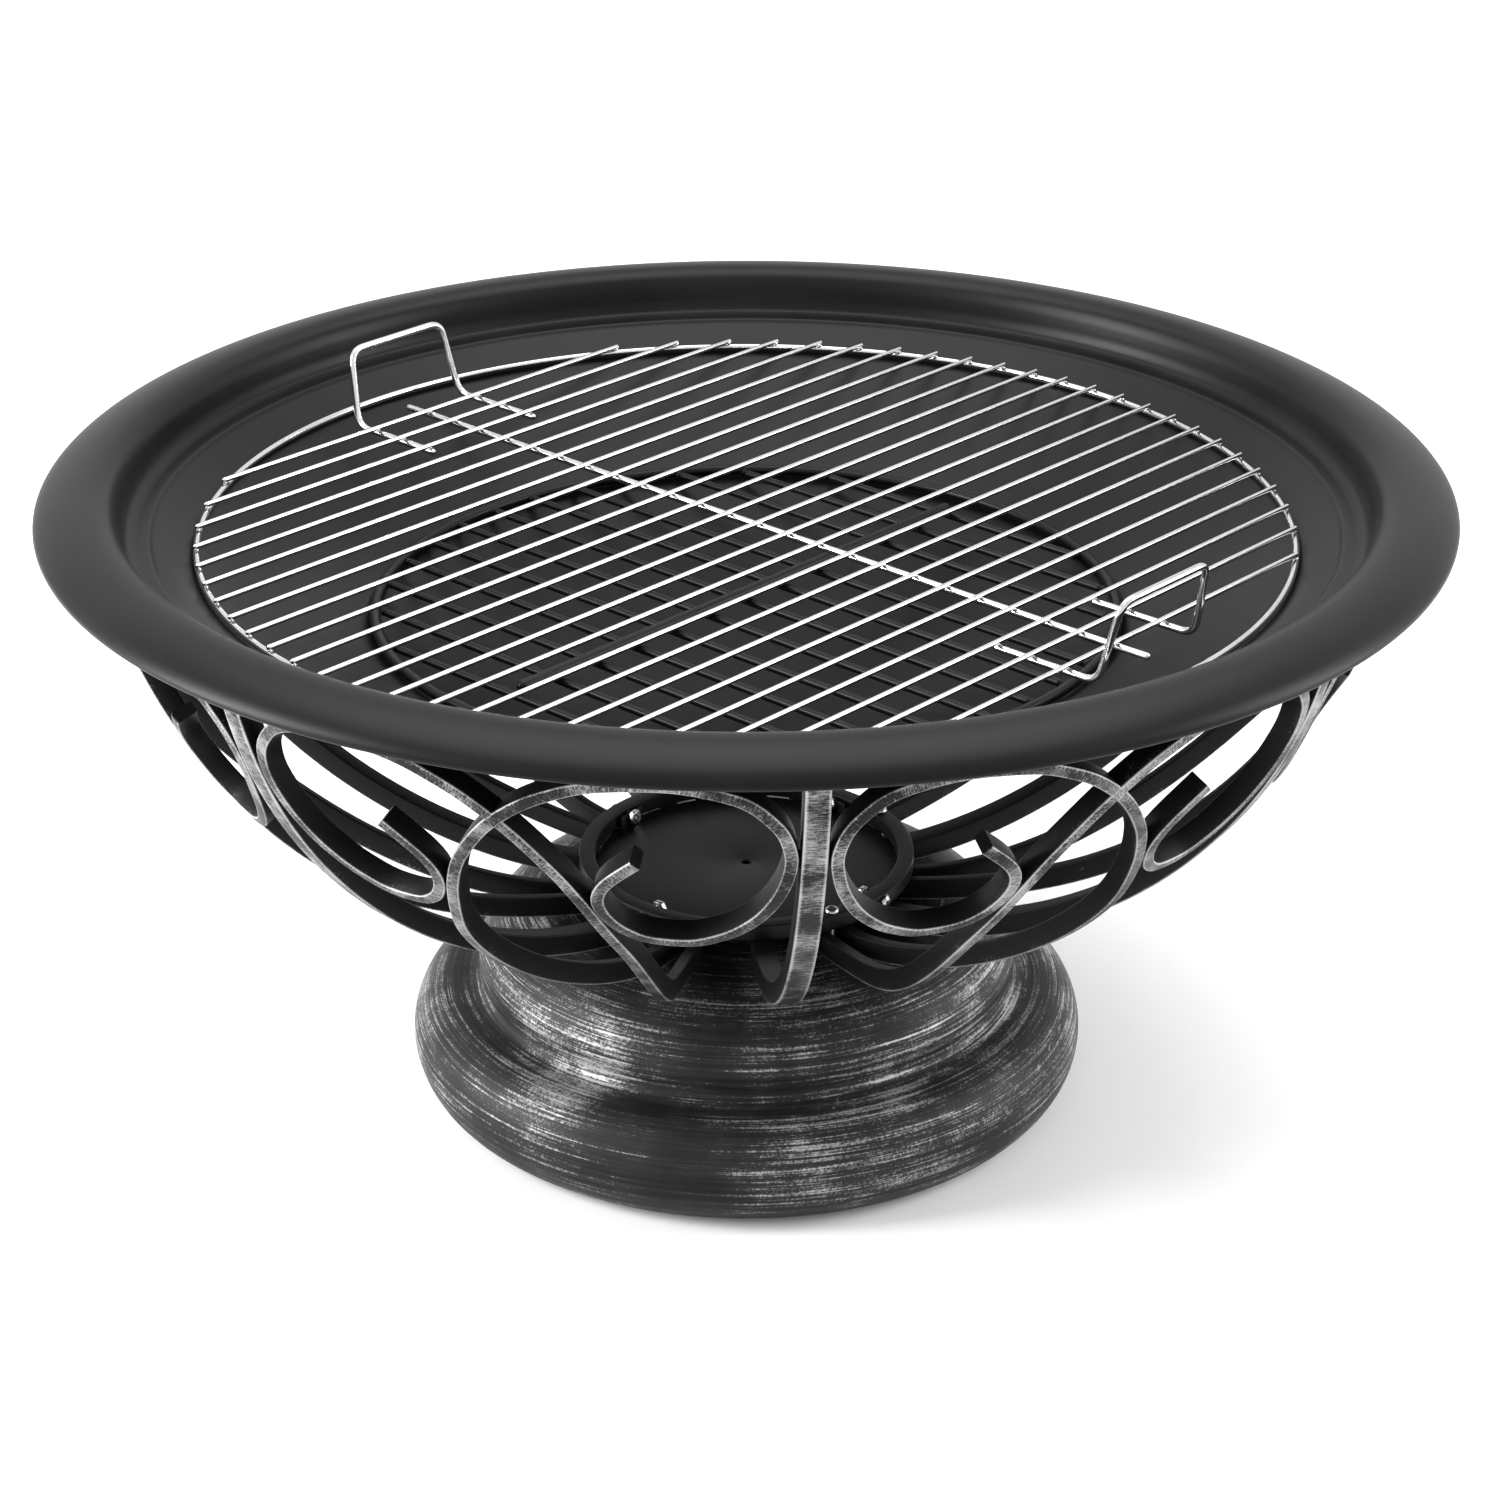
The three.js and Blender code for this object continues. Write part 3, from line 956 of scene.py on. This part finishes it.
@dataclass
class Basket:
    """Seven ribs, fourteen croziers, the hoop they carry and the ring they stand in."""

    form: BasketForm = field(default_factory=BasketForm)
    bays: int = 7
    depth: float = 12.0
    rib_width: float = 12.5
    rib_divisions: int = 120
    crozier_width: float = 6.5
    arris: float = 0.9
    set_back: float = 0.15
    crozier: tuple[Point, ...] = (
        (-4.2, 0), (-4.6, 34), (-6.6, 80), (-8.4, 122), (-9.4, 165), (-9.5, 200), (-8.9, 232), (-7.4, 262),
        (-5.9, 288), (-4, 311), (0, 341), (4.5, 360), (9, 369.5), (14.3, 372), (19, 366.5), (22.4, 351),
        (23.8, 331), (23.6, 313), (22.6, 295), (20.8, 278), (18, 264), (14.8, 257), (11.8, 258),
        (9.6, 264.5), (8.3, 273.5), (7.6, 284), (7.6, 293), (8.3, 302.5), (9.6, 311.5), (11.3, 321),
    )
    hoop: tuple[float, float, float, float] = (342.0, 354.0, 354.0, 365.0)
    ring: tuple[float, float, float, float] = (86.0, 95.0, 128.1, 137.1)
    contact: Point = (24.5, 322.0)
    crossing: Point = (0.0, 341.0)
    hook: Point = (6.85, 286.0)

    def _bar(self, flat: Sequence[Point], width: float, inset: float, spacing: float, shift: float) -> BMesh:
        """Returns one bar bent over the form about the front plane."""
        section = bar_section(width, -inset, -self.depth + inset, self.arris)
        return sweep(section, self.form.stations(flat, spacing), shift)

    def ribs(self, finishes: Finishes) -> None:
        """Makes the plain ribs, each with its worn look shifted.

        Args:
            finishes: the object's finishes.
        """
        flat = [(0.0, self.form.length * step / self.rib_divisions) for step in range(self.rib_divisions + 1)]
        for index in range(self.bays):
            rib = self._bar(flat, self.rib_width, 0.0, 6.0, index * 1.7)
            turned(rib, index * 360 / self.bays)
            finish_piece(f"rib_bar_{index + 1}", rib, finishes.bar, Body.STAND, [f"rib_{index + 1}"])

    def croziers(self, finishes: Finishes) -> None:
        """Makes the scrolled bars.

        Args:
            finishes: the object's finishes.
        """
        for index in range(self.bays):
            for hand, side in ((1, "right"), (-1, "left")):
                flat = [tuple(point) for point in spline([(hand * a, s) for a, s in self.crozier], 14)]
                inset = self.set_back if hand < 0 else 0.0
                bar = self._bar(flat, self.crozier_width, inset, 4.5, 20 + index * 3.1 + hand)
                turned(bar, (index + 0.5) * 360 / self.bays)
                name = f"crozier_{index + 1}_{side}"
                finish_piece(f"{name}_bar", bar, finishes.bar, Body.STAND, [name])

    @staticmethod
    def _band(sizes: tuple[float, float, float, float], steps: int) -> BMesh:
        """Returns a flat ring of (inner, outer, bottom, top) with rounded arrises.

        Args:
            sizes: the four sizes.
            steps: facets round it.

        Returns:
            A new bmesh.
        """
        inner, outer, low, high = sizes
        corners = [(inner, low, 0.8), (outer, low, 0.8), (outer, high, 0.8), (inner, high, 0.8)]
        return revolve(rounded(corners, 3), steps)

    def rings(self, finishes: Finishes) -> None:
        """Makes the hoop under the bowl and the ring on the pedestal."""
        finish_piece("hoop_band", self._band(self.hoop, 180), finishes.black_bar, Body.STAND, ["top_hoop"])
        finish_piece(
            "ring_band", self._band(self.ring, 128), finishes.black_bar, Body.STAND, ["bottom_ring"]
        )

    def welds(self, finishes: Finishes) -> None:
        """Makes the weld beads between bars, hoop and ring.

        Args:
            finishes: the object's finishes.
        """
        beads = []
        spots = (
            (self.contact, 6.0, Vector((3.2, 1.3, 6.5))), (self.crossing, 6.0, Vector((3.4, 3.4, 4.2))),
            (self.hook, 6.0, Vector((3.4, 1.1, 3.0))), ((14.3, 378.0), 6.0, Vector((4.5, 7.0, 3.0))),
        )
        for bay in range(self.bays):
            for hand in (1, -1):
                for kind, ((azimuth, distance), depth, size) in enumerate(spots):
                    if kind == 1 and hand < 0:
                        continue
                    angle = (bay + 0.5) * 360 / self.bays + hand * azimuth
                    centre, outward = self.form.place(angle, distance, depth)
                    sine, cosine = math.sin(math.radians(angle)), math.cos(math.radians(angle))
                    ahead = Vector((-outward.z * sine, outward.z * cosine, 1))
                    ahead = (ahead - outward * ahead.dot(outward)).normalized()
                    axes = Matrix((outward, ahead.cross(outward), ahead)).transposed()
                    beads.append(bead(centre, size * MM, axes, bay * 2.3 + hand + kind * 5.7))
        finish_piece("weld_beads", gathered(beads), finishes.black_bar, Body.STAND, [])

    def build(self, finishes: Finishes) -> None:
        """Makes the whole basket."""
        self.ribs(finishes)
        self.croziers(finishes)
        self.rings(finishes)
        self.welds(finishes)


# Pedestal


@dataclass
class Pedestal:
    """The spun pedestal, the plate in the ring and their fasteners."""

    wall: float = 3.0
    steps: int = 192
    flange: float = 114.4
    dome: tuple[Point, ...] = (
        (102, 114.4), (112, 113.4), (123, 110.5), (132, 106.5), (139.5, 101.2), (146, 94.4), (151, 86),
        (153.6, 77.5), (153, 71), (152.6, 67), (153.8, 63.2), (157.5, 60.8), (163, 60.1),
    )
    roll_centre: Point = (165.6, 30.0)
    roll_half: Point = (26.4, 30.0)
    plate_radius: float = 85.3
    plate_top: float = 128.1
    plate_wall: float = 2.5
    plate_hole: float = 3.0
    tab: tuple[float, float, float, float] = (84.6, 2.0, 20.0, 9.5)
    bolt_height: float = 132.6
    bolt_seat: float = 95.3
    nut_face: float = 82.3
    screw_radius: float = 90.5
    screw_seat: float = 137.4
    first_bolt: float = 48.0
    bolt_size: tuple[float, ...] = (3.9, 2.6, 2.5, 17.5)
    nut_size: tuple[float, ...] = (7.9, 3.2, 2.7)
    screw_size: tuple[float, ...] = (4.0, 2.6, 2.0, 30.0)
    screw_azimuths: tuple[float, ...] = (25.7, 115.7, 193.0, 295.7)

    def shell(self, finishes: Finishes) -> None:
        """Makes the spun shell.

        Args:
            finishes: the object's finishes.
        """
        cx, cz = self.roll_centre
        rx, rz = self.roll_half
        roll = []
        for step in range(41):
            angle = math.radians(91 - 181 * step / 40)
            roll.append((cx + rx * math.cos(angle), cz + rz * math.sin(angle)))
        face = [(60, self.flange), (90, self.flange), *map(tuple, spline(self.dome, 5)), *roll, (157, 0), (150, 0)]
        shell = revolve(thickened(face, self.wall), self.steps)
        finish_piece("pedestal_shell", shell, finishes.pedestal, Body.STAND, ["pedestal"])

    def plate(self, finishes: Finishes) -> None:
        """Makes the plate with its centre hole and upturned tabs.

        Args:
            finishes: the object's finishes.
        """
        low, high = self.plate_top - self.plate_wall, self.plate_top
        hole, edge = self.plate_hole, self.plate_radius
        parts = [revolve(rounded([(hole, low, 0.4), (edge, low, 0.6), (edge, high, 0.6), (hole, high, 0.4)], 3), 128)]
        face, wall, width, height = self.tab
        for index in range(4):
            tab = bmesh.new()
            place = Matrix.Translation((0, -(face - wall / 2) * MM, (low + height / 2) * MM))
            bmesh.ops.create_cube(tab, size=MM, matrix=place @ Matrix.Diagonal((width, wall, height, 1)))
            bmesh.ops.bevel(
                tab, geom=list(tab.edges), offset=0.5 * MM, segments=2, profile=0.5, affect="EDGES", material=-1
            )
            parts.append(turned(tab, self.first_bolt + 90 * index))
        finish_piece("plate_disc", gathered(parts), finishes.plate, Body.STAND, ["base_plate"])

    @staticmethod
    def _button(head: float, height: float, shank: float, length: float) -> BMesh:
        """Returns a domed screw with a hexagon socket, its seat at z = 0.

        Args:
            head: the head's radius.
            height: the head's height.
            shank: the shank's radius.
            length: the shank's length.

        Returns:
            A new bmesh.
        """
        socket, segments = head * 0.42, 36
        outline = [(0, -length), (shank - 0.4, -length), (shank, -length + 0.5), (shank, 0)]
        outline += [(head - 0.15, 0), (head, 0.25)]
        first, last = math.radians(8), math.radians(66)
        for step in range(9):
            angle = first + (last - first) * step / 8
            reach = head * math.cos(angle) / math.cos(first) * 0.995
            outline.append((reach, 0.2 + (height - 0.2) * math.sin(angle) / math.sin(last)))
        made = revolve(outline, segments, closed=False)
        rim = [edge for edge in made.edges if edge.is_boundary]
        hexagon = bmesh.ops.create_circle(
            made, segments=6, radius=socket * MM, matrix=Matrix.Translation((0, 0, height * MM))
        )["verts"]
        ring = list({edge for vert in hexagon for edge in vert.link_edges})
        bmesh.ops.bridge_loops(made, edges=rim + ring)
        deep = bmesh.ops.extrude_edge_only(made, edges=ring)["geom"]
        down = [item for item in deep if isinstance(item, bmesh.types.BMVert)]
        bmesh.ops.translate(made, vec=(0, 0, -height * 0.6 * MM), verts=down)
        fresh = set(down)
        floor = [item for item in deep if isinstance(item, bmesh.types.BMEdge) and fresh.issuperset(item.verts)]
        bmesh.ops.contextual_create(made, geom=floor)
        bmesh.ops.recalc_face_normals(made, faces=made.faces)
        return made

    @staticmethod
    def _nut(across: float, height: float, bore: float) -> BMesh:
        """Returns a chamfered hexagon nut centred on the origin, along Z.

        Args:
            across: its width across flats.
            height: its height.
            bore: the hole's radius.

        Returns:
            A new bmesh.
        """
        corner = across / math.sqrt(3)
        made = bmesh.new()
        lower = Matrix.Translation((0, 0, -height / 2 * MM))
        bmesh.ops.create_circle(made, segments=6, radius=corner * MM, matrix=lower)
        outside = list(made.edges)
        hole = bmesh.ops.create_circle(made, segments=24, radius=bore * MM, matrix=lower)
        inside = list({edge for vert in hole["verts"] for edge in vert.link_edges})
        bmesh.ops.bridge_loops(made, edges=outside + inside)
        solid = bmesh.ops.extrude_face_region(made, geom=list(made.faces))["geom"]
        bmesh.ops.translate(
            made, vec=(0, 0, height * MM), verts=[item for item in solid if isinstance(item, bmesh.types.BMVert)]
        )
        crown = [edge for edge in made.edges if min((v.co.xy.length for v in edge.verts)) > corner * 0.99 * MM]
        bmesh.ops.bevel(made, geom=crown, offset=0.35 * MM, segments=2, profile=0.5, affect="EDGES", material=-1)
        bmesh.ops.recalc_face_normals(made, faces=made.faces)
        return made

    @staticmethod
    def _stand_radial(part: BMesh, azimuth: float, radius: float, height: float) -> BMesh:
        """Points a Z-axis piece outwards at an azimuth, a radius and a height.

        Args:
            part: the piece.
            azimuth: degrees from the front.
            radius: its seat's radius.
            height: its axis's height.

        Returns:
            The same bmesh.
        """
        lay = Matrix.Translation((0, -radius * MM, height * MM)) @ Matrix.Rotation(math.pi / 2, 4, "X")
        bmesh.ops.transform(part, matrix=lay, verts=part.verts)
        return turned(part, azimuth)

    def fasteners(self, finishes: Finishes) -> None:
        """Makes the ring's bolts, nuts and screws.

        Args:
            finishes: the object's finishes.
        """
        for index in range(4):
            azimuth = self.first_bolt + 90 * index
            bolt = self._stand_radial(self._button(*self.bolt_size), azimuth, self.bolt_seat, self.bolt_height)
            nut = self._nut(*self.nut_size)
            bmesh.ops.rotate(nut, cent=(0, 0, 0), matrix=Matrix.Rotation(math.radians(30), 3, "Z"), verts=nut.verts)
            nut = self._stand_radial(nut, azimuth, self.nut_face - self.nut_size[1] / 2, self.bolt_height)
            screw = self._button(*self.screw_size)
            bmesh.ops.translate(screw, vec=(0, -self.screw_radius * MM, self.screw_seat * MM), verts=screw.verts)
            turned(screw, self.screw_azimuths[index])
            for kind, part in (("bolt", bolt), ("nut", nut), ("screw", screw)):
                node = f"ring_{kind}_{index + 1}"
                finish_piece(f"{node}_zinc", part, finishes.zinc, Body.STAND, [node])

    def build(self, finishes: Finishes) -> None:
        """Makes the pedestal and all that fastens the ring to it."""
        self.shell(finishes)
        self.plate(finishes)
        self.fasteners(finishes)


# Grates


@dataclass
class CookingGrate:
    """Chrome rods on a ring, a crossbar under them and two bent handles."""

    turn: float = 42.0
    ring_radius: float = 296.0
    ring_wire: float = 2.0
    ring_height: float = 335.0
    rod_wire: float = 1.5
    rod_height: float = 338.8
    rods: int = 24
    pitch: float = 21.9
    overhang: float = 2.0
    bar_half: float = 272.0
    handle_wire: float = 2.0

    def rod_meshes(self) -> list[BMesh]:
        """Returns the rods, the crossbar and their spot welds.

        Returns:
            The separate bmeshes.
        """
        parts = []
        height = self.rod_height * MM
        for index in range(self.rods):
            offset = (index - (self.rods - 1) / 2) * self.pitch
            half = math.sqrt(self.ring_radius**2 - offset**2) + self.overhang
            ends = [Vector((x * MM, offset * MM, height)) for x in (-half, 0, half)]
            parts.append(wire(ends, self.rod_wire, 10))
            for side in (-1, 1):
                at = Vector((side * (half - self.overhang) * MM, offset * MM, height - 1.8 * MM))
                parts.append(bead(at, Vector((1.5, 1.4, 0.9)) * MM, Matrix.Identity(3), index + side * 0.37))
            at = Vector((0, offset * MM, height - 1.4 * MM))
            parts.append(bead(at, Vector((1.5, 1.4, 0.8)) * MM, Matrix.Identity(3), index * 1.3))
        low = height - (self.rod_wire + self.ring_wire - 0.6) * MM
        parts.append(wire([Vector((0, y * self.bar_half * MM, low)) for y in (-1, 0, 1)], self.ring_wire, 12))
        return parts

    def handle_path(self, side: float) -> list[Vector]:
        """Returns the handle wire's centre line on one side of the grate.

        Args:
            side: 1 or -1 along the crossbar.

        Returns:
            Points in metres.
        """
        low = self.rod_height - self.rod_wire - self.handle_wire - 0.3
        corners = [(-40, 205, low), (-40, 270, low), (-35, 279, 378), (35, 279, 378), (40, 270, low), (40, 205, low)]
        points = [Vector((x, side * y, z)) * MM for x, y, z in corners]
        bend, path = 9 * MM, [points[0]]
        for before, corner, after in zip(points, points[1:], points[2:]):
            start = corner + (before - corner).normalized() * bend
            stop = corner + (after - corner).normalized() * bend
            for step in range(9):
                t = step / 8
                path.append(start * (1 - t) ** 2 + corner * 2 * t * (1 - t) + stop * t**2)
        return [*path, points[-1]]

    def build(self, finishes: Finishes) -> None:
        """Makes the cooking grate.

        Args:
            finishes: the object's finishes.
        """
        ring = ring_wire(self.ring_radius, self.ring_wire, self.ring_height, 240, 12)
        rods = gathered(self.rod_meshes())
        pieces = [("cooking_ring_wire", ring, "cooking_ring"), ("cooking_rod_wires", rods, "cooking_rods")]
        for side, node in ((1, "handle_left"), (-1, "handle_right")):
            handle = wire(self.handle_path(side), self.handle_wire, 14, Vector((0.31, 0.95, 0.05)).normalized())
            pieces.append((f"{node}_wire", handle, node))
        for name, mesh, node in pieces:
            turned(mesh, self.turn)
            finish_piece(name, mesh, finishes.chrome, Body.COOKING, [node])


@dataclass
class CharcoalGrate:
    """Black rods in a ring under the cooking grate, with one thick crossbar."""

    turn: float = 132.0
    ring_radius: float = 203.0
    ring_wire: float = 3.0
    ring_height: float = 289.1
    rod_wire: float = 2.2
    rods: int = 13
    pitch: float = 29.0
    bar_wire: float = 3.5
    bar_half: float = 174.0

    def build(self, finishes: Finishes) -> None:
        """Makes the charcoal grate.

        Args:
            finishes: the object's finishes.
        """
        ring = ring_wire(self.ring_radius, self.ring_wire, self.ring_height, 180, 14)
        reach = self.ring_radius - self.ring_wire - 1
        parts = []
        for index in range(self.rods):
            offset = (index - (self.rods - 1) / 2) * self.pitch
            half = math.sqrt(reach**2 - (abs(offset) + self.rod_wire) ** 2)
            ends = [Vector((x, offset, self.ring_height)) * MM for x in (-half, 0, half)]
            parts.append(wire(ends, self.rod_wire, 12))
            for side in (-1, 1):
                at = Vector((side * (half + 0.6), offset, self.ring_height)) * MM
                parts.append(bead(at, Vector((1.6, 2.6, 2.2)) * MM, Matrix.Identity(3), index + side * 0.4))
        high = self.ring_height + self.rod_wire + self.bar_wire - 0.6
        parts.append(wire([Vector((0, y * self.bar_half, high)) * MM for y in (-1, 0, 1)], self.bar_wire, 16))
        for name, mesh, node in (
            ("charcoal_ring_wire", ring, "charcoal_ring"), ("charcoal_rod_wires", gathered(parts), "charcoal_rods")
        ):
            turned(mesh, self.turn)
            finish_piece(name, mesh, finishes.black_wire, Body.CHARCOAL, [node])


# Studio


@dataclass
class Studio:
    """Floor, lights and camera."""

    distance: float = 1.7737
    height: float = 1.0364
    heading: float = -5.5
    pitch: float = 25.29
    sideways: float = 0.002
    lens: float = 84.0

    def floor(self) -> None:
        """Lays the pale floor."""
        made = bmesh.new()
        bmesh.ops.create_grid(made, x_segments=1, y_segments=1, size=12)
        data = bpy.data.meshes.new("floor")
        made.to_mesh(data)
        made.free()
        finish = Finish("pale_floor")
        finish.set(base_color=(0.90, 0.90, 0.90, 1), roughness=0.7)
        data.materials.append(finish.material)
        floor = bpy.data.objects.new("floor", data)
        bpy.context.scene.collection.objects.link(floor)

    @staticmethod
    def _lamp(name: str, place: Triple, aim: Triple, size: Point, power: float) -> None:
        """Adds one soft rectangular light.

        Args:
            name: its name.
            place: its place in metres.
            aim: where it points.
            size: its sides in metres.
            power: its power in watts.
        """
        light = bpy.data.lights.new(name, "AREA")
        light.shape = "RECTANGLE"
        light.size, light.size_y = size
        light.energy = power
        lamp = bpy.data.objects.new(name, light)
        lamp.location = place
        lamp.rotation_euler = (Vector(aim) - Vector(place)).to_track_quat("-Z", "Y").to_euler()
        bpy.context.scene.collection.objects.link(lamp)

    def lights(self) -> None:
        """Sets the soft studio light."""
        world = bpy.data.worlds.new("studio")
        bpy.context.scene.world = world
        world.use_nodes = True
        world.node_tree.nodes["Background"].inputs[0].default_value = (1, 1, 1, 1)
        world.node_tree.nodes["Background"].inputs[1].default_value = 1.08
        self._lamp("overhead", (0.0, 0.5, 2.4), (0, 0, 0.3), (2.4, 1.6), 46)
        self._lamp("left_wall", (-2.4, -0.2, 1.1), (0, 0, 0.3), (0.9, 1.8), 120)
        self._lamp("right_wall", (2.4, -0.2, 1.1), (0, 0, 0.3), (0.9, 1.8), 48)

    def camera(self) -> None:
        """Sets the camera."""
        turn = math.radians(self.heading)
        right = Vector((math.cos(turn), math.sin(turn), 0))
        ahead = Vector((-math.sin(turn), math.cos(turn), 0))
        data = bpy.data.cameras.new("camera")
        data.lens = self.lens
        data.sensor_width = 36
        camera = bpy.data.objects.new("camera", data)
        camera.location = right * self.sideways - ahead * self.distance + Vector((0, 0, self.height))
        camera.rotation_euler = (math.radians(90 - self.pitch), 0, turn)
        bpy.context.scene.collection.objects.link(camera)
        bpy.context.scene.camera = camera

    def build(self) -> None:
        """Sets the stage."""
        bpy.context.scene.view_settings.view_transform = "Standard"
        self.camera()
        self.floor()
        self.lights()


def main() -> None:
    """Builds every piece in order."""
    logging.basicConfig(level=logging.INFO, format="%(name)s %(message)s")
    finishes = Finishes()
    Studio().build()
    FireBowl().build(finishes)
    Basket().build(finishes)
    Pedestal().build(finishes)
    CookingGrate().build(finishes)
    CharcoalGrate().build(finishes)


if __name__ == "__main__":
    main()
